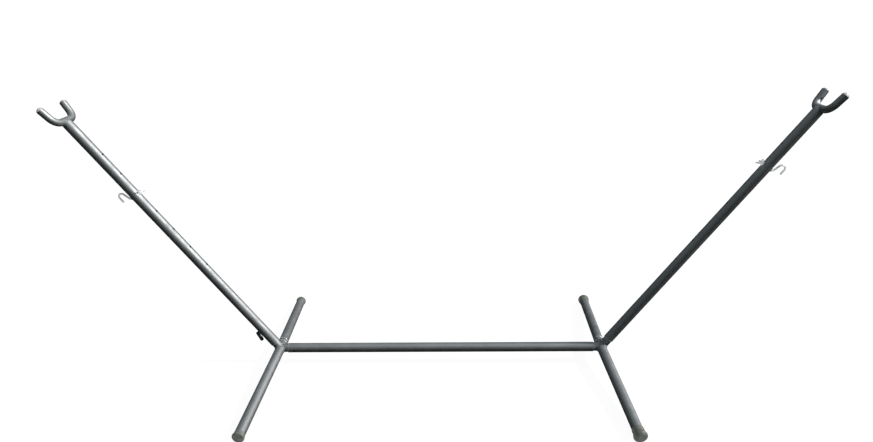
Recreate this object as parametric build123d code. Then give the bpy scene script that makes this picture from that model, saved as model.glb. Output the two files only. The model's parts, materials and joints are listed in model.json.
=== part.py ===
"""Free-standing steel hammock stand that takes apart at its corners.

Millimetres, +Z up.  The origin is on the ground, midway between the two corners.
+X runs along the base beam and +Y points to the back of the stand.
Each corner is one long foot tube with two stubs welded to it: the base beam slides over the
inner stub and an arm over the outer one.  The rear half of each foot plugs in behind the corner.
"""
import os
from math import cos, pi, radians, sin, sqrt

from build123d import *

# ---- Driving dimensions -------------------------------------------------------------------
TUBE_R = 19.0               # 38 mm tube: beam, arms and feet
TUBE_WALL = 1.5
TUBE_BORE_R = TUBE_R - TUBE_WALL
EDGE_ROUND = 0.5            # broken edge on a sawn tube end

CORNER_X = 646.0            # from the middle of the stand to a corner
CORNER_Z = 66.4             # height of the point where beam, arm and foot axes cross
ARM_ANGLE = 54.4            # arm above the horizontal, degrees
ARM_LENGTH = 1153.0         # corner point to the axis of the fork's bottom tube
ARM_START = 32.0            # corner point to the lower end of an arm that is pushed home
ARM_PULLED_OUT = {"left": 0.0, "right": 13.0}    # how far each arm stands short of home
ARM_TURN = -3.2             # both arms sit a little turned on their stubs, degrees
BEAM_START = 33.0           # corner point to the end of the beam

FOOT_REACH = 486.6          # corner point to the end of a foot, along Y
FOOT_SPLAY = 28.3           # how far each end stands further out than the corner
FOOT_END_Z = 20.8           # height of the foot's axis at its end
FOOT_BEND_R = 150.0         # bend of the long foot tube at the corner
FOOT_JOINT = 35.0           # corner point to the mouth of the long foot tube
FOOT_SHOULDER = 51.0        # corner point to the shoulder of the rear foot tube
NECK_START = 10.0           # corner point to the tip of the rear tube's neck
NECK_R = 17.3               # reduced end of the rear foot tube
COLLAR_R = 19.9             # rolled edge on both tubes at their joint
COLLAR_LENGTH = 4.5

STUB_R = 17.1
STUB_WALL = 2.0
ARM_STUB_END = 150.0        # corner point to the end of the arm stub
BEAM_STUB_END = 150.0       # corner point to the end of the beam stub

CAP_BORE_R = 19.05
CAP_LENGTH = {"left": 20.0, "right": 40.0}      # slim caps on the left foot, long boots on the right
CAP_CUFF_LENGTH = {"left": 4.0, "right": 16.0}
CAP_CUFF_R = {"left": 19.9, "right": 20.9}
CAP_FLARE_R = {"left": 22.2, "right": 24.5}
CAP_NOSE = {"left": 5.0, "right": 9.0}          # length of the cap's rounded end
CAP_NOSE_FLAT_R = {"left": 15.0, "right": 11.0}    # radius of the flat left in the middle of that end
CAP_WALL = 5.0
CAP_FLARE_STEPS = 6         # straight facets along the cap's flare
CAP_NOSE_STEPS = 6          # straight facets round its end

ARM_END_LENGTH = 15.0       # top of the arm, closed in over the fork
ARM_END_R = 12.5
FORK_R = 13.0
FORK_WALL = 1.8
FORK_OFFSET = -3.0          # middle of the fork off the arm's axis
FORK_CORNER_Y = 53.0        # from the fork's middle to its corners and tips
FORK_TIP_Y = 66.0
FORK_TIP_RISE = 65.0
FORK_BEND_R = 36.0
VENT_HOLE_R = 3.0
VENT_HOLE_RISE = 34.0
PLUG_DOME_HEIGHT = 8.0
PLUG_SPIGOT = 16.0

HOLE_COUNT = 7
HOLE_PITCH = 90.0
FIRST_HOLE = 449.0          # corner point to the lowest hook hole
HOOK_HOLE_NUMBER = {"left": 4, "right": 5}    # hole each hook sits in, counted up from 0
HOLE_R = 4.3

ROD_R = 4.0                 # M8 hook rod and M8 lock stud
ROD_TIP_ROUND = 2.5
THREAD_CLEARANCE = 0.06     # running clearance of a nut on its thread
RIDE_GAP = 0.3              # between the curved tube and a loose piece on it
WASHER_R = 8.5
WASHER_THICK = 1.4
WASHER_BORE_R = 4.08
HEX_FLATS = 13.0
HOOK_NUT_THICK = 3.0
HOOK_BEND_R = 6.0
HOOK_LEAN = 15.0            # rising leg of the hook away from the arm, degrees
HOOK_RISE_LENGTH = 25.0
HOOK_CROOK_R = 11.5
HOOK_LEG_LENGTH = 20.5
SHANK_TAIL = 7.0            # thread standing out of the wing nut

WING_HUB_R = 8.0
WING_HUB_TOP_R = 6.4
WING_HUB_HEIGHT = 9.0
WING_SPAN = 36.0
WING_HEIGHT = 17.0
WING_THICK = 3.2
WING_TURN = {"left": -28.0, "right": 43.0}    # wings turned from straight across the arm, degrees

LOCK_AT = 90.0              # corner point to the lock knob of an arm that is pushed home
LOCK_TURN = {"left": 0.0, "right": 60.0}    # from the arm's outer side round to its back, degrees
LOCK_NUT_HEIGHT = 6.0
LOCK_TRAVEL_GAP = 1.2
KNOB_HUB_R = 8.5
KNOB_HUB_HEIGHT = 4.0
KNOB_BAR_LENGTH = 42.0
KNOB_BAR_WIDTH = 13.0
KNOB_BAR_HEIGHT = 11.0
KNOB_TURN = 16.0
STUD_IN_KNOB = 9.0

SCREW_R = 3.0               # M6 button-head screws
SCREW_HEAD_R = 5.25
SCREW_HEAD_HEIGHT = 3.3
SCREW_SOCKET_R = 2.0
SCREW_SOCKET_DEPTH = 1.8
SCREW_LENGTH = 12.0
BEAM_SCREW_PLACES = (62.0, 118.0)
BEAM_SCREW_TURN = -90.0     # from underneath the beam round to its back, degrees
FOOT_SCREW_AT = 22.0
WELD_NUT_R = 5.5
WELD_NUT_HEIGHT = 5.0

# ---- Frames worked out from the dimensions --------------------------------------------------
CORNER = Vector(CORNER_X, 0, CORNER_Z)
ARM_UP = Vector(cos(radians(ARM_ANGLE)), 0, sin(radians(ARM_ANGLE)))
ARM_OUT = Vector(sin(radians(ARM_ANGLE)), 0, -cos(radians(ARM_ANGLE)))
ARM_FRAME = Plane(origin=CORNER, x_dir=ARM_OUT, z_dir=ARM_UP)    # x out, y back, z up the arm
BEAM_FRAME = Plane(origin=CORNER, x_dir=(0, 0, -1), z_dir=(-1, 0, 0))    # x down, z to the middle
BEAM_SCREW_FRAME = BEAM_FRAME.location * Rot(0, 0, BEAM_SCREW_TURN)
FOOT_DROP = CORNER_Z - FOOT_END_Z
REAR_DIRECTION = Vector(FOOT_SPLAY, FOOT_REACH, -FOOT_DROP).normalized()
FRONT_DIRECTION = Vector(FOOT_SPLAY, -FOOT_REACH, -FOOT_DROP).normalized()
FOOT_LENGTH = sqrt(FOOT_SPLAY**2 + FOOT_REACH**2 + FOOT_DROP**2)
FOOT_TUBE_END = FOOT_LENGTH - CAP_WALL
REAR_FRAME = Plane(origin=CORNER, z_dir=REAR_DIRECTION)


# ---- General shapes ---------------------------------------------------------------------------
def rod(radius, low, high):
    """Solid cylinder on the local Z axis from low to high."""
    return Pos(0, 0, low) * Cylinder(radius, high - low, align=(Align.CENTER, Align.CENTER, Align.MIN))


def cross_rod(radius, low, high):
    """Solid cylinder on the local X axis from low to high."""
    return Rot(0, 90, 0) * rod(radius, low, high)


def tube(radius, wall, low, high):
    """Open tube on the local Z axis with its end edges broken."""
    shell = rod(radius, low, high) - rod(radius - wall, low, high)
    ends = shell.edges().filter_by(GeomType.CIRCLE)
    return fillet(ends, EDGE_ROUND)


def swept(path, radius):
    """Round bar of one radius along a path."""
    return sweep(Plane(origin=path @ 0, z_dir=path % 0) * Circle(radius), path=path)


def turned(points):
    """Solid of revolution about local Z from an outline of (radius, height) points."""
    outline = Plane.XZ * make_face(Polyline(*points, close=True))
    return revolve(outline, Axis.Z)


def hex_nut(flats, thick, bore_r):
    """Hexagon nut on local Z, sitting on the XY plane, corners turned off at both faces."""
    corner_r = flats / sqrt(3)
    blank = extrude(RegularPolygon(corner_r, 6), thick)
    bevel = (corner_r - flats / 2) * 0.6
    envelope = chamfer(rod(corner_r, 0, thick).edges().filter_by(GeomType.CIRCLE), bevel)
    return (blank & envelope) - rod(bore_r, 0, thick)


def button_screw():
    """M6 button-head screw: head on +Z, seat on the XY plane, shank down -Z."""
    head = rod(SCREW_HEAD_R, 0, SCREW_HEAD_HEIGHT)
    head = fillet(head.edges().group_by(Axis.Z)[-1], SCREW_HEAD_HEIGHT * 0.75)
    socket = extrude(RegularPolygon(SCREW_SOCKET_R, 6), SCREW_SOCKET_DEPTH)
    head -= Pos(0, 0, SCREW_HEAD_HEIGHT - SCREW_SOCKET_DEPTH) * socket
    return head + rod(SCREW_R, -SCREW_LENGTH, 0)


# ---- Feet and corners, drawn on the +X side ------------------------------------------------------
def foot_path():
    """Centre line of the long foot tube: front end, corner bend, then its mouth at the back."""
    front = CORNER + FRONT_DIRECTION * FOOT_TUBE_END
    mouth = CORNER + REAR_DIRECTION * FOOT_JOINT
    return FilletPolyline(front, CORNER, mouth, radius=FOOT_BEND_R)


def foot_screw_plane():
    """Seat of the foot screw, on the underside of the tube."""
    foot_point = CORNER + REAR_DIRECTION * FOOT_SCREW_AT
    down = Vector(0, 0, -1)
    outward = (down - REAR_DIRECTION * down.dot(REAR_DIRECTION)).normalized()
    return Plane(origin=foot_point + outward * TUBE_R, z_dir=outward)


def collar(start):
    """Outline of a rolled edge that stands proud of a tube's skin, beginning at start."""
    edge = COLLAR_R - TUBE_R
    return [
        (TUBE_R, start),
        (COLLAR_R, start + edge),
        (COLLAR_R, start + COLLAR_LENGTH - edge),
        (TUBE_R, start + COLLAR_LENGTH),
    ]


def foot_tube_front():
    path = foot_path()
    shell = swept(path, TUBE_R)
    ring = turned([(TUBE_BORE_R, FOOT_JOINT), *reversed(collar(FOOT_JOINT - COLLAR_LENGTH)),
                   (TUBE_BORE_R, FOOT_JOINT - COLLAR_LENGTH)])
    shell += REAR_FRAME.location * ring
    shell -= swept(path, TUBE_BORE_R)
    hole = foot_screw_plane().location * rod(SCREW_R + RIDE_GAP, -TUBE_R / 2, TUBE_R / 4)
    return shell - hole


def foot_tube_rear():
    """Rear foot tube with its inner end drawn down to plug into the long tube."""
    skin = [(NECK_R, NECK_START), (NECK_R, FOOT_SHOULDER), *collar(FOOT_SHOULDER)]
    inner = [
        (TUBE_BORE_R, FOOT_TUBE_END),
        (TUBE_BORE_R, FOOT_SHOULDER + COLLAR_LENGTH),
        (NECK_R - TUBE_WALL, FOOT_SHOULDER),
        (NECK_R - TUBE_WALL, NECK_START),
    ]
    body = REAR_FRAME.location * turned([*skin, (TUBE_R, FOOT_TUBE_END), *inner])
    hole = foot_screw_plane().location * rod(SCREW_R + THREAD_CLEARANCE, -TUBE_R / 2, TUBE_R / 4)
    return body - hole


def foot_screw():
    return foot_screw_plane().location * button_screw()


def foot_rivet_nut():
    """Threaded insert on the inside of the neck, under the foot screw."""
    wall_depth = TUBE_R - NECK_R + TUBE_WALL
    sleeve = rod(WELD_NUT_R, -wall_depth - WELD_NUT_HEIGHT, -wall_depth)
    nut = foot_screw_plane().location * (sleeve - rod(SCREW_R, -TUBE_R, 0))
    neck_bore = REAR_FRAME.location * rod(NECK_R - TUBE_WALL, NECK_START, FOOT_JOINT)
    return nut & neck_bore


def cap_outline(side):
    """Outline of a foot cap from its open end, down the cuff and flare, to the middle of its nose."""
    start = FOOT_LENGTH - CAP_LENGTH[side]
    nose_start = FOOT_LENGTH - CAP_NOSE[side]
    flare_start = start + CAP_CUFF_LENGTH[side]
    cuff_r = CAP_CUFF_R[side]
    flare_r = CAP_FLARE_R[side]
    flat_r = CAP_NOSE_FLAT_R[side]
    outline = [(CAP_BORE_R, start), (cuff_r - EDGE_ROUND, start), (cuff_r, start + EDGE_ROUND)]
    for step in range(CAP_FLARE_STEPS + 1):
        along = step / CAP_FLARE_STEPS
        widening = (1 - cos(pi * along)) / 2
        height = flare_start + (nose_start - flare_start) * along
        outline.append((cuff_r + (flare_r - cuff_r) * widening, height))
    for step in range(1, CAP_NOSE_STEPS + 1):
        turn = pi / 2 * step / CAP_NOSE_STEPS
        radius = flat_r + (flare_r - flat_r) * cos(turn)
        outline.append((radius, nose_start + CAP_NOSE[side] * sin(turn)))
    return [*outline, (0, FOOT_LENGTH)]


def foot_cap(side, direction):
    """Flared cap pushed over a foot's end, with a flat underneath to stand on."""
    socket = [(0, FOOT_TUBE_END), (CAP_BORE_R, FOOT_TUBE_END)]
    cap = Plane(origin=CORNER, z_dir=direction).location * turned([*socket, *cap_outline(side)])
    ground = Pos(CORNER_X, 0, 0) * Box(4 * FOOT_REACH, 4 * FOOT_REACH, TUBE_R * 2,
                                       align=(Align.CENTER, Align.CENTER, Align.MAX))
    return cap - ground


def corner_stub(frame, length):
    """Stub welded to the foot tube, its inner end shaped to the tube's skin."""
    blank = rod(STUB_R, 0, length)
    blank = fillet(blank.edges().group_by(Axis.Z)[-1], STUB_WALL / 2)
    blank -= rod(STUB_R - STUB_WALL, 0, length)
    return frame.location * blank - swept(foot_path(), TUBE_R)


def beam_stub():
    stub = corner_stub(BEAM_FRAME, BEAM_STUB_END) - ARM_FRAME.location * rod(STUB_R, 0, ARM_STUB_END)
    for place in BEAM_SCREW_PLACES:
        stub -= BEAM_SCREW_FRAME * Pos(0, 0, place) * cross_rod(SCREW_R + THREAD_CLEARANCE, 0, TUBE_R)
    return stub


def beam_screws():
    """Two screws from the back through the beam into its stub."""
    seat = Pos(TUBE_R, 0, 0) * Rot(0, 90, 0)
    return [BEAM_SCREW_FRAME * Pos(0, 0, place) * seat * button_screw() for place in BEAM_SCREW_PLACES]


def beam_weld_nuts():
    """Nuts welded inside the stub for the beam screws."""
    bore_r = STUB_R - STUB_WALL
    blank = cross_rod(WELD_NUT_R, bore_r - WELD_NUT_HEIGHT, bore_r) - cross_rod(SCREW_R, 0, TUBE_R)
    nut = blank & rod(bore_r, -TUBE_R, TUBE_R)
    return [BEAM_SCREW_FRAME * Pos(0, 0, place) * nut for place in BEAM_SCREW_PLACES]


def arm_stub():
    return corner_stub(ARM_FRAME, ARM_STUB_END)


def base_beam():
    half = CORNER_X - BEAM_START
    beam = Pos(0, 0, CORNER_Z) * Rot(0, 90, 0) * tube(TUBE_R, TUBE_WALL, -half, half)
    for place in BEAM_SCREW_PLACES:
        for side in (-1, 1):
            x = side * (CORNER_X - place)
            hole = Rot(-90, 0, 0) * rod(SCREW_R + RIDE_GAP, TUBE_R / 2, 2 * TUBE_R)
            beam -= Pos(x, 0, CORNER_Z) * hole
    return beam


# ---- Arm and fork, drawn in the arm frame ---------------------------------------------------------
def arm_tube(side):
    """Arm with its lower end open and its top closed in over the fork."""
    shoulder = ARM_LENGTH - ARM_END_LENGTH
    with BuildSketch(Plane.XZ) as outline:
        with BuildLine():
            skin = Polyline((TUBE_BORE_R, ARM_START), (TUBE_R - EDGE_ROUND, ARM_START),
                            (TUBE_R, ARM_START + EDGE_ROUND), (TUBE_R, shoulder))
            crown = Spline(skin @ 1, (ARM_END_R, ARM_LENGTH), tangents=((0, 1), (-1, 0.5)))
            rim = Line(crown @ 1, (ARM_END_R - TUBE_WALL, ARM_LENGTH))
            under = Spline(rim @ 1, (TUBE_BORE_R, shoulder), tangents=((1, -0.5), (0, -1)))
            Line(under @ 1, (TUBE_BORE_R, ARM_START))
        make_face()
    body = revolve(outline.sketch, Axis.Z)
    body -= Pos(0, 0, ARM_LENGTH) * Rot(90, 0, 0) * rod(FORK_R, -TUBE_R * 2, TUBE_R * 2)
    for index in range(HOLE_COUNT):
        body -= Pos(0, 0, FIRST_HOLE + index * HOLE_PITCH) * cross_rod(HOLE_R, -2 * TUBE_R, 2 * TUBE_R)
    body -= Pos(0, 0, LOCK_AT) * Rot(0, 0, LOCK_TURN[side]) * cross_rod(HOLE_R, 0, 2 * TUBE_R)
    return body


def fork_path():
    """Centre line of the fork, a U lying in the arm frame's YZ plane."""
    corner, tip = FORK_CORNER_Y, FORK_TIP_Y
    outline = [(-tip, FORK_TIP_RISE), (-corner, 0), (corner, 0), (tip, FORK_TIP_RISE)]
    points = [(0, FORK_OFFSET + across, ARM_LENGTH + rise) for across, rise in outline]
    return FilletPolyline(*points, radius=FORK_BEND_R)


def fork():
    path = fork_path()
    bent = swept(path, FORK_R) - swept(path, FORK_R - FORK_WALL)
    lean = (FORK_TIP_Y - FORK_CORNER_Y) / FORK_TIP_RISE
    hole_y = FORK_OFFSET + FORK_CORNER_Y + lean * VENT_HOLE_RISE
    vent = Pos(0, hole_y, ARM_LENGTH + VENT_HOLE_RISE) * Rot(90, 0, 0) * rod(VENT_HOLE_R, 0, 2 * FORK_R)
    return bent - vent


def fork_end_plugs():
    """Domed plugs in the two ends of the fork."""
    bore_r = FORK_R - FORK_WALL
    dome_r = (FORK_R**2 + PLUG_DOME_HEIGHT**2) / (2 * PLUG_DOME_HEIGHT)
    dome = Pos(0, 0, PLUG_DOME_HEIGHT - dome_r) * Sphere(dome_r)
    dome = dome & rod(FORK_R, 0, PLUG_DOME_HEIGHT)
    plug = dome + rod(bore_r, -PLUG_SPIGOT, 0)
    path = fork_path()
    ends = [(path @ 0, -(path % 0)), (path @ 1, path % 1)]
    return [Plane(origin=point, z_dir=direction).location * plug for point, direction in ends]


# ---- Hook and its fasteners, drawn with the shank on local X through the hook hole -----------
OUTER_WASHER_AT = TUBE_R + RIDE_GAP
HOOK_NUT_AT = OUTER_WASHER_AT + WASHER_THICK
INNER_WASHER_AT = TUBE_R + THREAD_CLEARANCE
WING_NUT_AT = INNER_WASHER_AT + WASHER_THICK + THREAD_CLEARANCE


def hook():
    """Round-bar hook: threaded shank through the arm, rising leg, crook and a leg back down."""
    tail = -(WING_NUT_AT + WING_HUB_HEIGHT + SHANK_TAIL)
    with BuildLine(Plane.XZ) as line:
        shank = Line((tail, 0), (HOOK_NUT_AT + HOOK_NUT_THICK, 0))
        bend = JernArc(shank @ 1, shank % 1, HOOK_BEND_R, 90 - HOOK_LEAN)
        rise = Line(bend @ 1, bend @ 1 + bend % 1 * HOOK_RISE_LENGTH)
        crook = JernArc(rise @ 1, rise % 1, HOOK_CROOK_R, -(180 - HOOK_LEAN))
        Line(crook @ 1, crook @ 1 + crook % 1 * HOOK_LEG_LENGTH)
    path = line.wires()[0]
    bar = swept(path, ROD_R)
    ends = bar.edges().filter_by(GeomType.CIRCLE).filter_by(lambda edge: edge.length > 6 * ROD_R)
    tips = [edge for edge in ends if any((edge.arc_center - path @ end).length < 0.1 for end in (0, 1))]
    return fillet(tips, ROD_TIP_ROUND)


def hook_nut():
    nut = hex_nut(HEX_FLATS, HOOK_NUT_THICK, ROD_R)
    return Pos(HOOK_NUT_AT, 0, 0) * Rot(0, 90, 0) * nut


def washer():
    """Flat washer on local X with its outer edges broken."""
    ring = chamfer(rod(WASHER_R, 0, WASHER_THICK).edges().filter_by(GeomType.CIRCLE), 0.3)
    return Rot(0, 90, 0) * (ring - rod(WASHER_BORE_R, 0, WASHER_THICK))


def hook_outer_washer():
    return Pos(OUTER_WASHER_AT, 0, 0) * washer()


def hook_inner_washer():
    return Pos(-INNER_WASHER_AT - WASHER_THICK, 0, 0) * washer()


def wing_nut(side):
    """Wing nut with a tapered hub and two ears that lean up and out."""
    hub = turned([(0, 0), (WING_HUB_R, 0), (WING_HUB_TOP_R, WING_HUB_HEIGHT), (0, WING_HUB_HEIGHT)])
    tip = WING_SPAN / 2
    hub_side = WING_HUB_HEIGHT - 1.0
    corners = [
        (0, 1.0),
        (WING_HUB_R - 1.5, 1.0),
        (tip - 3.0, WING_HEIGHT * 0.45),
        (tip, WING_HEIGHT * 0.72),
        (tip - 1.0, WING_HEIGHT),
        (tip - 6.0, WING_HEIGHT),
        (WING_HUB_TOP_R - 0.5, hub_side),
        (0, hub_side),
    ]
    ear = make_face(Polyline(*corners, close=True))
    ear = fillet(ear.vertices().filter_by(lambda point: point.X > WING_HUB_R), 1.8)
    blade = extrude(Plane.XZ * ear, WING_THICK / 2, both=True)
    blade = fillet(blade.edges().filter_by(lambda edge: edge.center().X > WING_HUB_R), 1.0)
    nut = hub + blade + Rot(0, 0, 180) * blade
    nut -= rod(ROD_R + THREAD_CLEARANCE, -1, WING_HEIGHT)
    seat = Pos(-WING_NUT_AT, 0, 0) * Rot(0, -90, 0)
    return seat * Rot(0, 0, 90 + WING_TURN[side]) * nut


# ---- Lock knob, drawn with the stud on local X ------------------------------------------------------
LOCK_NUT_TOP = TUBE_R + LOCK_NUT_HEIGHT
KNOB_BASE = LOCK_NUT_TOP + LOCK_TRAVEL_GAP


def lock_nut():
    """Nut welded to the arm, its underside shaped to the tube."""
    blank = Pos(TUBE_R - 3.0, 0, 0) * Rot(0, 90, 0) * hex_nut(HEX_FLATS, LOCK_NUT_HEIGHT + 3.0,
                                                              ROD_R + THREAD_CLEARANCE)
    return blank - rod(TUBE_R, -TUBE_R, TUBE_R)


def lock_stud():
    tip = STUB_R + RIDE_GAP
    stud = rod(ROD_R, tip, KNOB_BASE + STUD_IN_KNOB)
    stud = chamfer(stud.edges().filter_by(GeomType.CIRCLE), 0.6)
    return Rot(0, 90, 0) * stud


def lock_knob():
    """Moulded T-handle: a round hub under a bar with rounded ends."""
    hub = rod(KNOB_HUB_R, 0, KNOB_HUB_HEIGHT)
    bar = extrude(SlotOverall(KNOB_BAR_LENGTH, KNOB_BAR_WIDTH), KNOB_BAR_HEIGHT)
    bar = fillet(bar.edges().group_by(Axis.Z)[-1] + bar.edges().group_by(Axis.Z)[0], 3.0)
    knob = hub + Pos(0, 0, 1.5) * bar
    knob -= rod(ROD_R + THREAD_CLEARANCE, -1, STUD_IN_KNOB + THREAD_CLEARANCE)
    return Pos(KNOB_BASE, 0, 0) * Rot(0, 90, 0) * Rot(0, 0, KNOB_TURN) * knob


# ---- Placing both sides and writing the files ---------------------------------------------------------
def as_list(shape):
    return shape if isinstance(shape, list) else [shape]


def write(name, shapes):
    solids = [solid for shape in shapes for solid in shape.solids()]
    export_step(Compound(solids) if len(solids) > 1 else solids[0], f"parts/{name}.step")


def write_at_corner(side, name, shapes):
    """Corner pieces are drawn on the right; the left ones are mirror images."""
    if side == "left":
        shapes = [shape.mirror(Plane.YZ) for shape in shapes]
    write(f"{side}_{name}", shapes)


CORNER_PIECES = {
    "foot_tube_front": foot_tube_front,
    "foot_tube_rear": foot_tube_rear,
    "foot_screw": foot_screw,
    "foot_rivet_nut": foot_rivet_nut,
    "beam_stub": beam_stub,
    "beam_screws": beam_screws,
    "beam_weld_nuts": beam_weld_nuts,
    "arm_stub": arm_stub,
}
ARM_PIECES = {"fork": fork, "fork_end_plugs": fork_end_plugs}
HOOK_PIECES = {
    "hook": hook,
    "hook_nut": hook_nut,
    "hook_outer_washer": hook_outer_washer,
    "hook_inner_washer": hook_inner_washer,
}
LOCK_PIECES = {"lock_nut": lock_nut, "lock_stud": lock_stud, "lock_knob": lock_knob}


def write_arm(side):
    """An arm and all it carries.  The left arm is turned half round about the vertical."""
    arm_frame = ARM_FRAME.location * Pos(0, 0, ARM_PULLED_OUT[side]) * Rot(0, 0, ARM_TURN)
    hook_frame = arm_frame * Pos(0, 0, FIRST_HOLE + HOOK_HOLE_NUMBER[side] * HOLE_PITCH)
    lock_frame = arm_frame * Pos(0, 0, LOCK_AT) * Rot(0, 0, LOCK_TURN[side])
    placed = {"arm_tube": [arm_frame * arm_tube(side)], "wing_nut": [hook_frame * wing_nut(side)]}
    groups = ((ARM_PIECES, arm_frame), (HOOK_PIECES, hook_frame), (LOCK_PIECES, lock_frame))
    for pieces, piece_frame in groups:
        for name, make_piece in pieces.items():
            placed[name] = [piece_frame * shape for shape in as_list(make_piece())]
    for name, shapes in placed.items():
        if side == "left":
            shapes = [shape.rotate(Axis.Z, 180) for shape in shapes]
        write(f"{side}_{name}", shapes)


os.makedirs("parts", exist_ok=True)
write("base_beam", [base_beam()])
for side_name in ("left", "right"):
    for piece_name, make_corner_piece in CORNER_PIECES.items():
        write_at_corner(side_name, piece_name, as_list(make_corner_piece()))
    write_at_corner(side_name, "foot_cap_front", [foot_cap(side_name, FRONT_DIRECTION)])
    write_at_corner(side_name, "foot_cap_rear", [foot_cap(side_name, REAR_DIRECTION)])
    write_arm(side_name)
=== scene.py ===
"""Hammock stand: finishes, weld beads, threads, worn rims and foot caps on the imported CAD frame.

Metres, +Z up, in the CAD frame.  Sizes given in millimetres are turned into metres by MM.
"""
import json
from math import cos, pi, radians, sin, sqrt

import bmesh
import bpy
from mathutils import Matrix, Vector
from mathutils.bvhtree import BVHTree


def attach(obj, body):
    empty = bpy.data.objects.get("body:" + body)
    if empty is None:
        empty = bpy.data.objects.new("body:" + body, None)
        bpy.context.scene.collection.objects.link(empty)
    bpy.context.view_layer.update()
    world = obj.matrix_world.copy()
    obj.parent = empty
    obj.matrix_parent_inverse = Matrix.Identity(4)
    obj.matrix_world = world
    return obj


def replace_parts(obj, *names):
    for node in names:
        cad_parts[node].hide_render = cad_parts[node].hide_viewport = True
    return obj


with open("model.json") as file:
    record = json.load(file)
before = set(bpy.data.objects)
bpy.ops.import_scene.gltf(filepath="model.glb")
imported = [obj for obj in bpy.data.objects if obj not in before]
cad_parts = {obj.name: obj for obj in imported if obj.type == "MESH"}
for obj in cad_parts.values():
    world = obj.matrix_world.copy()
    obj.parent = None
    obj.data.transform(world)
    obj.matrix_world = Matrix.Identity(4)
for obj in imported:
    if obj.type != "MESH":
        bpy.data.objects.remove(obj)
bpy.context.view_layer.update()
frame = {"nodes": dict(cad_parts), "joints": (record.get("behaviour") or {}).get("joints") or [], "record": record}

MM = 0.001
SIDES = {"left": -1, "right": 1}
JOINTS = {joint["name"]: joint for joint in frame["joints"]}

# ---- Places and sizes repeated from the CAD model ------------------------------------------------
TUBE_R = 19.0 * MM
STUB_R = 17.1 * MM
FORK_R = 13.0 * MM
ROD_R = 4.0 * MM
CORNER = Vector((0.646, 0.0, 0.0664))           # of the right side
FOOT_END = Vector((0.6743, 0.4866, 0.0208))     # of the right rear foot
FOOT_MOUTH = 35.0 * MM      # corner to the mouth of the long foot tube
FOOT_SHOULDER = 51.0 * MM   # corner to the shoulder of the rear foot tube
COLLAR_R = 19.9 * MM        # rolled edge on both foot tubes at their joint
COLLAR_HALF = 2.2 * MM      # tube end to the middle of its rolled edge
BEAM_START = 33.0 * MM      # corner to the end of the beam
ARM_START = 32.0 * MM       # corner to the lower end of an arm that is pushed home
ARM_LENGTH = 1153.0 * MM    # corner to the axis of the fork's bottom bar, arm pushed home
ARM_PULLED_OUT = {"left": 0.0, "right": 13.0 * MM}
STUD_START = STUB_R + 0.3 * MM
STUD_END = 35.2 * MM        # both from the arm's axis

# Closed-in top of the arm in millimetres: (radius, height above the axis of the fork's bar)
ARM_CROWN = [(19.0, -15.0), (18.7, -11.0), (17.6, -7.0), (15.9, -3.6), (14.2, -1.3), (12.5, 0.0)]

# ---- Camera at the photograph's viewing angle ----------------------------------------------------
CAMERA_PLACE = Vector((0.0528, -2.1806, 1.4478))
CAMERA_YAW = -1.50          # degrees to the right of straight along +Y
CAMERA_PITCH = -20.98       # degrees above the horizontal
CAMERA_ROLL = -1.05         # degrees
CAMERA_LENS = 25.87         # millimetres
SENSOR_WIDTH = 36.0         # millimetres
VIEW_DISTANCE = 400.0


def add_camera():
    data = bpy.data.cameras.new("camera")
    data.sensor_width = SENSOR_WIDTH
    data.lens = CAMERA_LENS
    data.clip_end = VIEW_DISTANCE
    camera = bpy.data.objects.new("camera", data)
    turn = Matrix.Rotation(radians(-CAMERA_YAW), 4, "Z")
    tilt = Matrix.Rotation(radians(90 + CAMERA_PITCH), 4, "X")
    roll = Matrix.Rotation(radians(CAMERA_ROLL), 4, "Z")
    camera.matrix_world = Matrix.Translation(CAMERA_PLACE) @ turn @ tilt @ roll
    bpy.context.scene.collection.objects.link(camera)
    bpy.context.scene.camera = camera


# ---- Node trees ----------------------------------------------------------------------------------
MIX_FACTOR, MIX_FIRST, MIX_SECOND = 0, 6, 7     # a colour mix node's inputs, which share names
MIX_RESULT = 2                                  # its colour output


def fill_ramp(ramp, stops):
    """Set a colour ramp to stops of (position, colour)."""
    while len(ramp.elements) < len(stops):
        ramp.elements.new(0.5)
    for element, (position, colour) in zip(ramp.elements, stops):
        element.position = position
        element.color = (*colour, 1.0)


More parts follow.
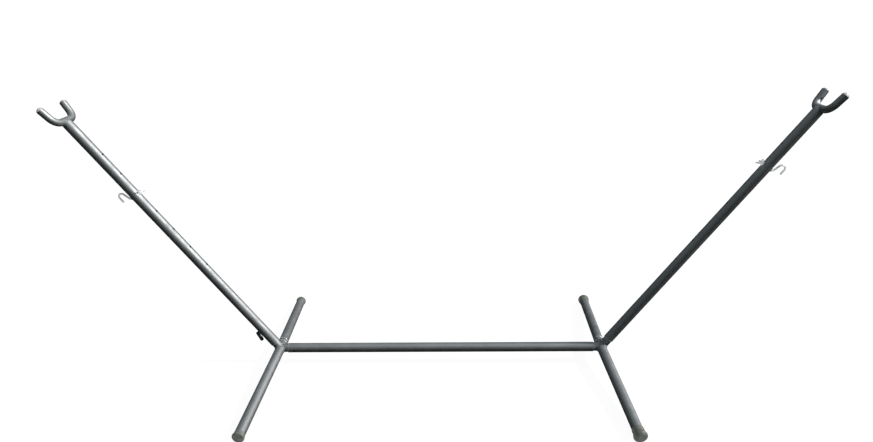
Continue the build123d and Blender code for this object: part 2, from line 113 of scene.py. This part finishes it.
class Nodes:
    """Short way to build a material's node tree."""

    def __init__(self, name):
        self.material = bpy.data.materials.new(name)
        self.material.use_nodes = True
        self.tree = self.material.node_tree
        self.shader = self.tree.nodes["Principled BSDF"]
        self.place = self.add("ShaderNodeTexCoord").outputs["Object"]

    def add(self, kind, **settings):
        node = self.tree.nodes.new(kind)
        for key, value in settings.items():
            setattr(node, key, value)
        return node

    def link(self, source, target):
        self.tree.links.new(source, target)

    def set(self, **values):
        """Constant values on the shader's own sockets, with _ for a space in a name."""
        for name, value in values.items():
            self.shader.inputs[name.replace("_", " ")].default_value = value

    def drive(self, **sources):
        """Textures on the shader's own sockets, with _ for a space in a name."""
        for name, source in sources.items():
            self.link(source, self.shader.inputs[name.replace("_", " ")])

    def noise(self, scale, detail, roughness=0.5, stretch=None):
        node = self.add("ShaderNodeTexNoise")
        node.inputs["Scale"].default_value = scale
        node.inputs["Detail"].default_value = detail
        node.inputs["Roughness"].default_value = roughness
        place = self.place
        if stretch:
            mapping = self.add("ShaderNodeMapping")
            mapping.inputs["Scale"].default_value = stretch
            self.link(place, mapping.inputs["Vector"])
            place = mapping.outputs["Vector"]
        self.link(place, node.inputs["Vector"])
        return node.outputs["Fac"]

    def cells(self, scale):
        node = self.add("ShaderNodeTexVoronoi")
        node.inputs["Scale"].default_value = scale
        self.link(self.place, node.inputs["Vector"])
        return node.outputs["Distance"]

    def ramp(self, source, stops):
        node = self.add("ShaderNodeValToRGB")
        fill_ramp(node.color_ramp, stops)
        self.link(source, node.inputs["Fac"])
        return node.outputs["Color"]

    def spread(self, source, low, high, from_low=0.3, from_high=0.7):
        """Spread a texture's range, from_low to from_high, over low to high."""
        node = self.add("ShaderNodeMapRange")
        node.inputs["From Min"].default_value = from_low
        node.inputs["From Max"].default_value = from_high
        node.inputs["To Min"].default_value = low
        node.inputs["To Max"].default_value = high
        self.link(source, node.inputs["Value"])
        return node.outputs["Result"]

    def mix(self, factor, first, second):
        """Colour mix; each argument is a texture, a constant share or a constant colour."""
        node = self.add("ShaderNodeMix", data_type="RGBA")
        if isinstance(factor, float):
            node.inputs[MIX_FACTOR].default_value = factor
        else:
            self.link(factor, node.inputs[MIX_FACTOR])
        for index, value in ((MIX_FIRST, first), (MIX_SECOND, second)):
            if isinstance(value, tuple):
                node.inputs[index].default_value = (*value, 1.0)
            else:
                self.link(value, node.inputs[index])
        return node.outputs[MIX_RESULT]

    def bump(self, heights):
        """Chain of bumps from (height, strength, distance in metres)."""
        normal = None
        for height, strength, distance in heights:
            node = self.add("ShaderNodeBump")
            node.inputs["Strength"].default_value = strength
            node.inputs["Distance"].default_value = distance
            self.link(height, node.inputs["Height"])
            if normal:
                self.link(normal, node.inputs["Normal"])
            normal = node.outputs["Normal"]
        self.drive(Normal=normal)


# ---- Materials -----------------------------------------------------------------------------------
COAT_CLOUDS = [(0.32, (0.285, 0.308, 0.308)), (0.68, (0.348, 0.374, 0.373))]
COAT_FLAKES = [(0.36, (0.20, 0.21, 0.21)), (0.64, (0.56, 0.585, 0.585))]
COAT_FLAKE_SHARE = 0.16
COAT_DUST = (0.30, 0.30, 0.25)
COAT_DUST_SHARE = 0.16      # at most
COAT_SCUFF = (0.52, 0.53, 0.54)
COAT_SCUFF_FROM = 0.70      # where in the scuff noise the scuffs begin,
COAT_SCUFF_FULL = 0.75      # and where they are at their full strength

EDGE_COAT = (0.40, 0.41, 0.42)
EDGE_BRIGHTNESS = {"seam_edge": 0.86, "sawn_edge": 0.42}

ZINC_BLOTCHES = [
    (0.35, (0.78, 0.79, 0.79)),
    (0.52, (0.93, 0.94, 0.95)),
    (0.70, (0.84, 0.85, 0.84)),
]

RUBBER_BLOOM = [
    (0.34, (0.100, 0.112, 0.092)),
    (0.52, (0.150, 0.165, 0.138)),
    (0.70, (0.215, 0.230, 0.195)),
]
RUBBER_SOIL = (0.095, 0.090, 0.065)
RUBBER_SOIL_SHARE = 0.55    # at most

BLACK_DARK, BLACK_LIGHT = (0.010, 0.010, 0.011), (0.024, 0.024, 0.025)
GREY_DARK, GREY_LIGHT = (0.42, 0.43, 0.44), (0.52, 0.53, 0.54)


def powder_coat():
    """Silver-grey metallic powder coat: flake speckle, orange peel, dust film and small scuffs."""
    n = Nodes("powder_coat")
    flake = n.noise(2600.0, 1.0)
    cloud = n.noise(7.0, 4.0)
    scuff = n.noise(55.0, 6.0, roughness=0.65, stretch=(1.0, 1.0, 0.6))
    base = n.mix(COAT_FLAKE_SHARE, n.ramp(cloud, COAT_CLOUDS), n.ramp(flake, COAT_FLAKES))
    dusty = n.spread(n.noise(16.0, 5.0), 0.0, COAT_DUST_SHARE, 0.52, 0.72)
    base = n.mix(dusty, base, COAT_DUST)
    worn = n.spread(scuff, 0.0, 1.0, COAT_SCUFF_FROM, COAT_SCUFF_FULL)
    base = n.mix(worn, base, COAT_SCUFF)
    n.set(Metallic=0.98)
    n.drive(Base_Color=base, Roughness=n.spread(n.noise(38.0, 4.0), 0.56, 0.68))
    n.bump([(n.noise(420.0, 2.0), 0.05, 0.0002), (scuff, 0.03, 0.0003), (flake, 0.02, 0.0001)])
    return n.material


def worn_edge(name, bright):
    """Tube edge where the coat has rubbed through to steel of this brightness."""
    n = Nodes(name)
    patch = n.noise(130.0, 4.0)
    steel = (bright, bright, bright * 0.99)
    n.set(Metallic=0.55)
    n.drive(Base_Color=n.ramp(patch, [(0.42, steel), (0.60, EDGE_COAT)]))
    n.drive(Roughness=n.spread(patch, 0.34, 0.55))
    n.bump([(n.noise(900.0, 3.0), 0.2, 0.0002)])
    return n.material


def bright_zinc():
    """Bright zinc plate: cloudy passivation, fine grit, duller patches."""
    n = Nodes("bright_zinc")
    blotch = n.noise(260.0, 4.0)
    n.set(Metallic=0.14)
    n.drive(Base_Color=n.ramp(blotch, ZINC_BLOTCHES), Roughness=n.spread(blotch, 0.28, 0.46))
    n.bump([(n.noise(1800.0, 2.0), 0.15, 0.0001)])
    return n.material


def weathered_rubber():
    """Grey-green moulded cap: chalky bloom, soil marks and fine moulding texture."""
    n = Nodes("foot_rubber")
    bloom = n.noise(55.0, 6.0, roughness=0.6)
    soiled = n.spread(n.noise(24.0, 5.0), 0.0, RUBBER_SOIL_SHARE, 0.55, 0.75)
    base = n.mix(soiled, n.ramp(bloom, RUBBER_BLOOM), RUBBER_SOIL)
    n.drive(Base_Color=base, Roughness=n.spread(bloom, 0.40, 0.62))
    n.bump([(n.cells(900.0), 0.25, 0.0002), (n.noise(160.0, 4.0), 0.3, 0.0004)])
    return n.material


def moulded_plastic(name, dark, light, smoothest, roughest):
    """Moulded plastic with a fine spark-eroded grain and rubbed patches."""
    n = Nodes(name)
    n.drive(Base_Color=n.ramp(n.noise(70.0, 5.0), [(0.35, dark), (0.65, light)]))
    n.drive(Roughness=n.spread(n.noise(190.0, 3.0), smoothest, roughest))
    n.bump([(n.cells(1500.0), 0.18, 0.00012), (n.noise(300.0, 2.0), 0.12, 0.0003)])
    return n.material


FINISHES = {
    "tube_coating": powder_coat(),
    "zinc_plating": bright_zinc(),
    "foot_rubber": weathered_rubber(),
    "knob_plastic": moulded_plastic("knob_plastic", BLACK_DARK, BLACK_LIGHT, 0.36, 0.52),
    "plug_plastic": moulded_plastic("plug_plastic", GREY_DARK, GREY_LIGHT, 0.22, 0.36),
}
EDGES = {name: worn_edge(name, bright) for name, bright in EDGE_BRIGHTNESS.items()}


def finish_nodes():
    """Give every CAD node the material of its slot in the record."""
    slots = {part["node"]: part["material_slot"] for part in frame["record"]["subparts"]}
    for name, node in frame["nodes"].items():
        for place in node.material_slots:
            place.material = FINISHES[slots[name]]


# ---- Mesh helpers --------------------------------------------------------------------------------
def add_piece(name, mesh, body, slot, material=None):
    """Link a finished mesh as a piece that rides on a body of the frame."""
    mesh.materials.append(material or FINISHES[slot])
    for polygon in mesh.polygons:
        polygon.use_smooth = True
    piece = bpy.data.objects.new(name, mesh)
    bpy.context.scene.collection.objects.link(piece)
    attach(piece, body)
    return piece


def turns(count):
    """Angles of this many even steps round a circle."""
    return [2 * pi * k / count for k in range(count)]


def wander(at, waves):
    """Slow unevenness at a place or an angle: the sum of waves of (size, rate, phase)."""
    return sum(size * sin(rate * at + phase) for size, rate, phase in waves)


def skin(name, rings, closed=False):
    """Mesh skinned over rings with the same number of points; its ends are capped or joined."""
    mesh = bpy.data.meshes.new(name)
    count = len(rings[0])
    vertices = [point for ring in rings for point in ring]
    faces = []
    spans = len(rings) if closed else len(rings) - 1
    for row in range(spans):
        here = row * count
        there = (row + 1) % len(rings) * count
        for k in range(count):
            after = (k + 1) % count
            faces.append((here + k, here + after, there + after, there + k))
    if not closed:
        faces.append(tuple(reversed(range(count))))
        last = (len(rings) - 1) * count
        faces.append(tuple(range(last, last + count)))
    mesh.from_pydata(vertices, [], faces)
    work = bmesh.new()
    work.from_mesh(mesh)
    bmesh.ops.recalc_face_normals(work, faces=work.faces)
    work.to_mesh(mesh)
    work.free()
    return mesh


def circle(centre, across, up, radius, count):
    """Ring of points about centre; across and up are unit vectors, or an ellipse's half axes."""
    return [centre + across * (radius * cos(turn)) + up * (radius * sin(turn)) for turn in turns(count)]


def frame_matrix(origin, out, up):
    """Local frame with x out, z up and y completing the right-handed set."""
    back = up.cross(out)
    matrix = Matrix((out, back, up)).transposed().to_4x4()
    matrix.translation = origin
    return matrix


# ---- Frames of the two sides ---------------------------------------------------------------------
def corner_of(side):
    return Vector((SIDES[side] * CORNER.x, 0.0, CORNER.z))


def side_frames(side):
    """Frames on one side: the arm at its corner, the hook's shank and the lock stud."""
    up = Vector(JOINTS[f"{side}_arm_lift"]["axis"]).normalized()
    shank = JOINTS[f"{side}_hook_swivel"]
    out = Vector(shank["axis"]).normalized()
    knob = JOINTS[f"{side}_knob_turn"]
    return {
        "arm": frame_matrix(corner_of(side) + up * ARM_PULLED_OUT[side], out, up),
        "hook": frame_matrix(Vector(shank["pos_m"]), out, up),
        "lock": frame_matrix(Vector(knob["pos_m"]), Vector(knob["axis"]).normalized(), up),
    }


def foot_frame(side, end):
    """Frame at the corner with z along the front or rear half of a foot, and that half's length."""
    toward = -1 if end == "front" else 1
    corner = corner_of(side)
    tip = Vector((SIDES[side] * FOOT_END.x, toward * FOOT_END.y, FOOT_END.z))
    along = (tip - corner).normalized()
    across = Vector((0, 0, 1)).cross(along).normalized()
    return frame_matrix(corner, across, along), (tip - corner).length


# ---- Weld beads ----------------------------------------------------------------------------------
STUB_BEAD_R = 2.7 * MM
FORK_BEAD_R = 2.0 * MM
BEAD_STEP = 4.2 * MM        # length of one ripple of weld
BEAD_SIDES = 10
BEAD_TROUGH = 0.84          # parts of the bead's radius
BEAD_RIPPLE = 0.18
BEAD_WANDER = [(0.05, 0.9, 0.0), (0.04, 0.37, 1.0)]     # rates in radians per millimetre
BEAD_OFF_STUB = 0.6 * MM    # stub's wall to the middle of its bead
STUB_LOOP_POINTS = 170
CROWN_LOOP_POINTS = 150
CROWN_STEPS = 20            # along each straight of the arm's crown
RAY_START = 0.1             # out on the stub, from where rays look for the foot tube


def bead_mesh(name, loop, axis_point, axis, radius):
    """Closed bead along a loop round an axis, rippled and uneven like a hand-laid weld."""
    count = len(loop)
    rings = []
    along = 0.0
    for k, point in enumerate(loop):
        following = loop[(k + 1) % count]
        tangent = (following - loop[k - 1]).normalized()
        arm = point - axis_point
        outward = arm - axis * arm.dot(axis)
        outward = (outward - tangent * outward.dot(tangent)).normalized()
        side = tangent.cross(outward)
        ripple = BEAD_RIPPLE * abs(sin(pi * along / BEAD_STEP))
        thick = radius * (BEAD_TROUGH + ripple + wander(along / MM, BEAD_WANDER))
        rings.append(circle(point, outward, side, thick, BEAD_SIDES))
        along += (following - point).length
    return skin(name, rings, closed=True)


def surface_of(node):
    source = frame["nodes"][node].data
    return BVHTree.FromPolygons([v.co for v in source.vertices], [p.vertices for p in source.polygons])


def stub_loop(target, origin, direction):
    """Where the bead round a stub, which runs from origin along direction, meets the target's skin."""
    tree = surface_of(target)
    across = direction.orthogonal().normalized()
    up = direction.cross(across)
    start = origin + direction * RAY_START
    loop = []
    for point in circle(start, across, up, STUB_R + BEAD_OFF_STUB, STUB_LOOP_POINTS):
        hit = tree.ray_cast(point, -direction, RAY_START)[0]
        if hit:
            loop.append(hit)
    return loop


def crown_profile():
    """Points of the arm's crown in small steps from its tube up: (radius, height) in metres."""
    profile = []
    for (r0, h0), (r1, h1) in zip(ARM_CROWN, ARM_CROWN[1:]):
        for step in range(CROWN_STEPS + 1):
            blend = step / CROWN_STEPS
            profile.append(((r0 + (r1 - r0) * blend) * MM, (h0 + (h1 - h0) * blend) * MM))
    return profile


def crown_loop(place):
    """Where the arm's crown first meets the fork's bottom bar, in the frame at the bar's middle."""
    profile = crown_profile()
    loop = []
    for turn in turns(CROWN_LOOP_POINTS):
        for radius, height in profile:
            if (radius * cos(turn))**2 + height**2 <= FORK_R**2:
                loop.append(place @ Vector((radius * cos(turn), radius * sin(turn), height)))
                break
    return loop


def add_welds(side, frames):
    corner = corner_of(side)
    arm_up = frames["arm"].to_3x3() @ Vector((0, 0, 1))
    beam_in = Vector((-SIDES[side], 0, 0))
    for label, direction in (("beam", beam_in), ("arm", arm_up)):
        loop = stub_loop(f"{side}_foot_tube_front", corner, direction)
        name = f"{side}_{label}_stub_weld"
        bead = bead_mesh(name, loop, corner, direction, STUB_BEAD_R)
        add_piece(name, bead, "base_frame", "tube_coating")
    at_bar = frames["arm"] @ Matrix.Translation((0, 0, ARM_LENGTH))
    name = f"{side}_fork_weld"
    bead = bead_mesh(name, crown_loop(at_bar), at_bar.translation, arm_up, FORK_BEAD_R)
    add_piece(name, bead, f"{side}_arm", "tube_coating")


# ---- Worn rims at the tube ends ------------------------------------------------------------------
RIM_SIZES = {               # half depth and half length of a rim
    "seam_edge": (0.9 * MM, 2.0 * MM),
    "sawn_edge": (0.65 * MM, 0.75 * MM),
}
RIM_WANDER = [(0.06 * MM, 5, 0.7), (0.04 * MM, 11, 0.0)]
RIM_SUNK = 0.45             # of its half depth, below the tube's skin
RIM_INSET = 0.5 * MM        # tube end to the middle of a sawn rim
RIM_POINTS = 96
RIM_SECTION_POINTS = 12


def rim_mesh(name, place, height, radius, thick, length):
    """Rolled lip round a tube: thick is half its depth, length half its extent along the tube."""
    rings = []
    for turn in turns(RIM_POINTS):
        outward = Vector((cos(turn), sin(turn), 0))
        reach = radius - thick * RIM_SUNK + wander(turn, RIM_WANDER)
        centre = outward * reach + Vector((0, 0, height))
        section = circle(centre, outward * thick, Vector((0, 0, length)), 1.0, RIM_SECTION_POINTS)
        rings.append([place @ point for point in section])
    return skin(name, rings, closed=True)


def add_rims(side, frames):
    arm = frames["arm"]
    beam = frame_matrix(corner_of(side), Vector((0, 1, 0)), Vector((-SIDES[side], 0, 0)))
    rear = foot_frame(side, "rear")[0]
    rims = [
        ("foot_mouth", rear, FOOT_MOUTH - COLLAR_HALF, COLLAR_R, "seam_edge", "base_frame"),
        ("foot_shoulder", rear, FOOT_SHOULDER + COLLAR_HALF, COLLAR_R, "seam_edge", "base_frame"),
        ("beam_end", beam, BEAM_START + RIM_INSET, TUBE_R, "sawn_edge", "base_frame"),
        ("arm_end", arm, ARM_START + RIM_INSET, TUBE_R, "sawn_edge", f"{side}_arm"),
    ]
    for label, place, height, radius, edge, body in rims:
        name = f"{side}_{label}_rim"
        mesh = rim_mesh(name, place, height, radius, *RIM_SIZES[edge])
        add_piece(name, mesh, body, "tube_coating", EDGES[edge])


# ---- Foot caps -----------------------------------------------------------------------------------
CAP_MOUTH_R = 19.1          # millimetres, like the other sizes of the caps
CAP_SHAPES = {
    "left": {"length": 20.0, "cuff": 4.0, "cuff_r": 19.9, "flare_r": 22.2, "nose": 5.0, "flat_r": 15.0},
    "right": {"length": 40.0, "cuff": 16.0, "cuff_r": 20.9, "flare_r": 24.5, "nose": 9.0, "flat_r": 11.0},
}
CAP_LIP = [(0.5, 0.0), (0.1, 0.3), (0.0, 0.9)]  # below the cuff's radius, in from the open end
CAP_FLARE_STEPS = 16
CAP_NOSE_STEPS = 14
CAP_FACE_RADII = (7.0, 1.2)
CAP_INSIDE = 0.12           # from the CAD cap's skin inward, so that the waves stay within it
CAP_WAVE = 0.10
CAP_WAVES_ROUND = 3
CAP_WAVE_TWIST = 0.2        # radians per millimetre
CAP_POINTS = 112


def cap_outline(side):
    """Outline of a cap as (radius, distance from the foot's end), from its open end to its nose."""
    shape = CAP_SHAPES[side]
    length, cuff_r, flare_r = shape["length"], shape["cuff_r"], shape["flare_r"]
    nose, flat_r = shape["nose"], shape["flat_r"]
    outline = [(CAP_MOUTH_R, length)]
    outline += [(cuff_r - below, length - inward) for below, inward in CAP_LIP]
    flare_start = length - shape["cuff"]
    for step in range(CAP_FLARE_STEPS + 1):
        along = step / CAP_FLARE_STEPS
        widening = (1 - cos(pi * along)) / 2
        outline.append((cuff_r + (flare_r - cuff_r) * widening, flare_start + (nose - flare_start) * along))
    for step in range(1, CAP_NOSE_STEPS + 1):
        turn = pi / 2 * step / CAP_NOSE_STEPS
        outline.append((flat_r + (flare_r - flat_r) * cos(turn), nose * (1 - sin(turn))))
    return outline + [(radius, 0.0) for radius in CAP_FACE_RADII]


def cap_mesh(name, place, length, outline):
    """Moulded cap on a foot's end, flat where it stands on the ground."""
    rings = []
    for radius, from_end in outline:
        ring = []
        for turn in turns(CAP_POINTS):
            wave = CAP_WAVE * sin(CAP_WAVES_ROUND * turn + CAP_WAVE_TWIST * from_end)
            reach = (radius + wave - CAP_INSIDE) * MM
            point = place @ Vector((reach * cos(turn), reach * sin(turn), length - from_end * MM))
            point.z = max(point.z, 0.0)
            ring.append(point)
        rings.append(ring)
    return skin(name, rings)


def add_caps(side):
    for end in ("front", "rear"):
        place, length = foot_frame(side, end)
        node = f"{side}_foot_cap_{end}"
        name = f"{node}_boot"
        mesh = cap_mesh(name, place, length, cap_outline(side))
        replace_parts(add_piece(name, mesh, "base_frame", "foot_rubber"), node)


# ---- Threaded rods -------------------------------------------------------------------------------
PITCH = 1.25 * MM
THREAD_STEP = PITCH / 5     # between the rings of a thread
THREAD_DEPTH = 0.62 * MM
THREAD_PLAY = 0.02 * MM     # crest of the thread below the plain rod
RIDGE_SLOPE = 1.7           # of the flanks, in depths per half pitch
RIDGE_ROOT = 0.2            # how far below the flat root the flanks would meet, in depths
ROD_SIDES = 28
STUD_CHAMFER = 0.8 * MM
STUD_CHAMFER_SHRINK = 0.16


def thread_radius(along, turn):
    """Radius of an M8 thread at a place along it and an angle round it."""
    phase = (along / PITCH - turn / (2 * pi)) % 1.0
    ridge = min(1.0, max(0.0, RIDGE_SLOPE * (1 - abs(2 * phase - 1)) - RIDGE_ROOT))
    return ROD_R - THREAD_PLAY - THREAD_DEPTH * (1 - ridge)


def rod_ring(centre, across, up, along, threaded, shrink):
    ring = []
    for turn in turns(ROD_SIDES):
        radius = (thread_radius(along, turn) if threaded else ROD_R) * shrink
        ring.append(centre + across * (radius * cos(turn)) + up * (radius * sin(turn)))
    return ring


def stud_mesh(name, place):
    """Threaded lock stud along a frame's x axis with chamfered ends."""
    rings = []
    length = STUD_END - STUD_START
    count = round(length / THREAD_STEP)
    for k in range(count + 1):
        along = length * k / count
        from_end = min(along, length - along)
        shrink = min(1.0, 1 - STUD_CHAMFER_SHRINK * (1 - from_end / STUD_CHAMFER))
        centre = Vector((STUD_START + along, 0, 0))
        ring = rod_ring(centre, Vector((0, 1, 0)), Vector((0, 0, 1)), along, True, shrink)
        rings.append([place @ point for point in ring])
    return skin(name, rings)


HOOK_TAIL = -36.52 * MM     # threaded end of the shank, from the arm's axis
HOOK_BEND_AT = 23.7 * MM
HOOK_PLAIN = 5.0 * MM       # unthreaded end of the shank at the bend
HOOK_BEND_R = 6.0 * MM
HOOK_LEAN = radians(15.0)
HOOK_RISE = 25.0 * MM
HOOK_CROOK_R = 11.5 * MM
HOOK_LEG = 20.5 * MM
HOOK_TIP = 2.5 * MM         # length of the rounding at each end
HOOK_TIP_FLAT = 0.42        # of the radius, left at the very end


def hook_path():
    """Centre line of the hook in its own frame: (point, heading, distance, threaded)."""
    path = []
    place = Vector((HOOK_TAIL, 0, 0))
    heading = 0.0
    distance = 0.0
    sections = [            # length, curvature, threaded, distance between rings
        (HOOK_BEND_AT - HOOK_PLAIN - HOOK_TAIL, 0.0, True, THREAD_STEP),
        (HOOK_PLAIN, 0.0, False, 2.0 * MM),
        (HOOK_BEND_R * (pi / 2 - HOOK_LEAN), 1 / HOOK_BEND_R, False, 0.7 * MM),
        (HOOK_RISE, 0.0, False, 3.0 * MM),
        (HOOK_CROOK_R * (pi - HOOK_LEAN), -1 / HOOK_CROOK_R, False, 1.0 * MM),
        (HOOK_LEG, 0.0, False, 3.0 * MM),
    ]
    for length, curvature, threaded, spacing in sections:
        count = max(2, round(length / spacing))
        step = length / count
        for _ in range(count):
            path.append((place.copy(), heading, distance, threaded))
            heading += curvature * step / 2
            place += Vector((cos(heading), 0, sin(heading))) * step
            heading += curvature * step / 2
            distance += step
    path.append((place.copy(), heading, distance, False))
    return path


def hook_mesh(name, place):
    """Hook bar with a cut thread on its shank and rounded tips."""
    path = hook_path()
    total = path[-1][2]
    sideways = Vector((0, 1, 0))
    rings = []
    for centre, heading, distance, threaded in path:
        direction = Vector((cos(heading), 0, sin(heading)))
        from_tip = min(distance, total - distance)
        shrink = 1.0
        if from_tip < HOOK_TIP:
            shrink = HOOK_TIP_FLAT + (1 - HOOK_TIP_FLAT) * sqrt(1 - (1 - from_tip / HOOK_TIP)**2)
        ring = rod_ring(centre, sideways, direction.cross(sideways), distance, threaded, shrink)
        rings.append([place @ point for point in ring])
    return skin(name, rings)


# ---- Cast and moulded pieces ---------------------------------------------------------------------
WING_VOXEL = 0.35 * MM
KNOB_VOXEL = 0.5 * MM
SMOOTH_FACTOR = 0.5
SMOOTH_ROUNDS = 6


def softened(name, node, voxel):
    """Copy of a CAD node remeshed and smoothed so that its edges look cast or moulded."""
    mesh = frame["nodes"][node].data.copy()
    mesh.name = name
    mesh.materials.clear()
    piece = bpy.data.objects.new(name, mesh)
    bpy.context.scene.collection.objects.link(piece)
    remesh = piece.modifiers.new("remesh", "REMESH")
    remesh.mode = "VOXEL"
    remesh.voxel_size = voxel
    smooth = piece.modifiers.new("smooth", "SMOOTH")
    smooth.factor = SMOOTH_FACTOR
    smooth.iterations = SMOOTH_ROUNDS
    graph = bpy.context.evaluated_depsgraph_get()
    result = bpy.data.meshes.new_from_object(piece.evaluated_get(graph))
    bpy.data.objects.remove(piece)
    result.name = name
    result.materials.clear()
    return result


def add_hardware(side, frames):
    """Hook, lock stud, wing nut and knob, each in place of its plain CAD node."""
    name = f"{side}_hook_bar"
    mesh = hook_mesh(name, frames["hook"])
    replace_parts(add_piece(name, mesh, f"{side}_hook_bar", "zinc_plating"), f"{side}_hook")
    name = f"{side}_lock_thread"
    mesh = stud_mesh(name, frames["lock"])
    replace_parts(add_piece(name, mesh, f"{side}_stud", "zinc_plating"), f"{side}_lock_stud")
    name = f"{side}_wing_casting"
    mesh = softened(name, f"{side}_wing_nut", WING_VOXEL)
    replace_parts(add_piece(name, mesh, f"{side}_wing", "zinc_plating"), f"{side}_wing_nut")
    name = f"{side}_knob_moulding"
    mesh = softened(name, f"{side}_lock_knob", KNOB_VOXEL)
    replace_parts(add_piece(name, mesh, f"{side}_knob", "knob_plastic"), f"{side}_lock_knob")


# ---- Floor, sun and sky --------------------------------------------------------------------------
FLOOR_HALF = 150.0
FLOOR_CLOUDS = [(0.3, (0.080, 0.080, 0.080)), (0.7, (0.090, 0.090, 0.090))]
FLOOR_GLOW = 0.95
WHITE = (1.0, 1.0, 1.0, 1.0)

SUN_DIRECTION = Vector((0.78, -0.03, 0.62))
SUN_ENERGY = 4.5
SUN_COLOUR = (1.0, 0.955, 0.965)
SUN_WIDTH = 8.0             # degrees across

SKY_STOPS = [               # from straight down, 0, to straight up, 1
    (0.00, (0.009, 0.011, 0.008)),
    (0.47, (0.012, 0.015, 0.011)),
    (0.56, (0.034, 0.040, 0.037)),
    (0.72, (0.16, 0.172, 0.185)),
    (1.00, (0.43, 0.465, 0.51)),
]


def add_floor():
    """White ground that glows by itself, so the stand leaves only a faint shadow on it."""
    mesh = bpy.data.meshes.new("floor")
    corners = [(-1, -1), (1, -1), (1, 1), (-1, 1)]
    mesh.from_pydata([(x * FLOOR_HALF, y * FLOOR_HALF, 0) for x, y in corners], [], [(0, 1, 2, 3)])
    floor = bpy.data.objects.new("floor", mesh)
    bpy.context.scene.collection.objects.link(floor)
    n = Nodes("floor")
    n.drive(Base_Color=n.ramp(n.noise(0.6, 2.0), FLOOR_CLOUDS))
    n.set(Roughness=0.95, Emission_Color=WHITE, Emission_Strength=FLOOR_GLOW)
    mesh.materials.append(n.material)
    floor.visible_glossy = False


def add_sun():
    sun = bpy.data.lights.new("key", "SUN")
    sun.energy = SUN_ENERGY
    sun.color = SUN_COLOUR
    sun.angle = radians(SUN_WIDTH)
    lamp = bpy.data.objects.new("key", sun)
    lamp.rotation_euler = SUN_DIRECTION.to_track_quat("Z", "Y").to_euler()
    bpy.context.scene.collection.objects.link(lamp)


def add_sky():
    """Dim sky that lights the stand, behind a white backdrop that only the camera sees."""
    world = bpy.data.worlds.new("studio")
    bpy.context.scene.world = world
    world.use_nodes = True
    tree = world.node_tree
    place = tree.nodes.new("ShaderNodeTexCoord")
    split = tree.nodes.new("ShaderNodeSeparateXYZ")
    spread = tree.nodes.new("ShaderNodeMapRange")
    spread.inputs["From Min"].default_value = -1.0
    ramp = tree.nodes.new("ShaderNodeValToRGB")
    fill_ramp(ramp.color_ramp, SKY_STOPS)
    rays = tree.nodes.new("ShaderNodeLightPath")
    seen = tree.nodes.new("ShaderNodeMix")
    seen.data_type = "RGBA"
    seen.inputs[MIX_SECOND].default_value = WHITE
    tree.links.new(place.outputs["Generated"], split.inputs["Vector"])
    tree.links.new(split.outputs["Z"], spread.inputs["Value"])
    tree.links.new(spread.outputs["Result"], ramp.inputs["Fac"])
    tree.links.new(rays.outputs["Is Camera Ray"], seen.inputs[MIX_FACTOR])
    tree.links.new(ramp.outputs["Color"], seen.inputs[MIX_FIRST])
    tree.links.new(seen.outputs[MIX_RESULT], tree.nodes["Background"].inputs["Color"])


# ---- The scene -----------------------------------------------------------------------------------
add_camera()
finish_nodes()
for side_name in SIDES:
    side_places = side_frames(side_name)
    add_welds(side_name, side_places)
    add_rims(side_name, side_places)
    add_caps(side_name)
    add_hardware(side_name, side_places)
add_floor()
add_sun()
add_sky()
bpy.context.scene.view_settings.view_transform = "Standard"
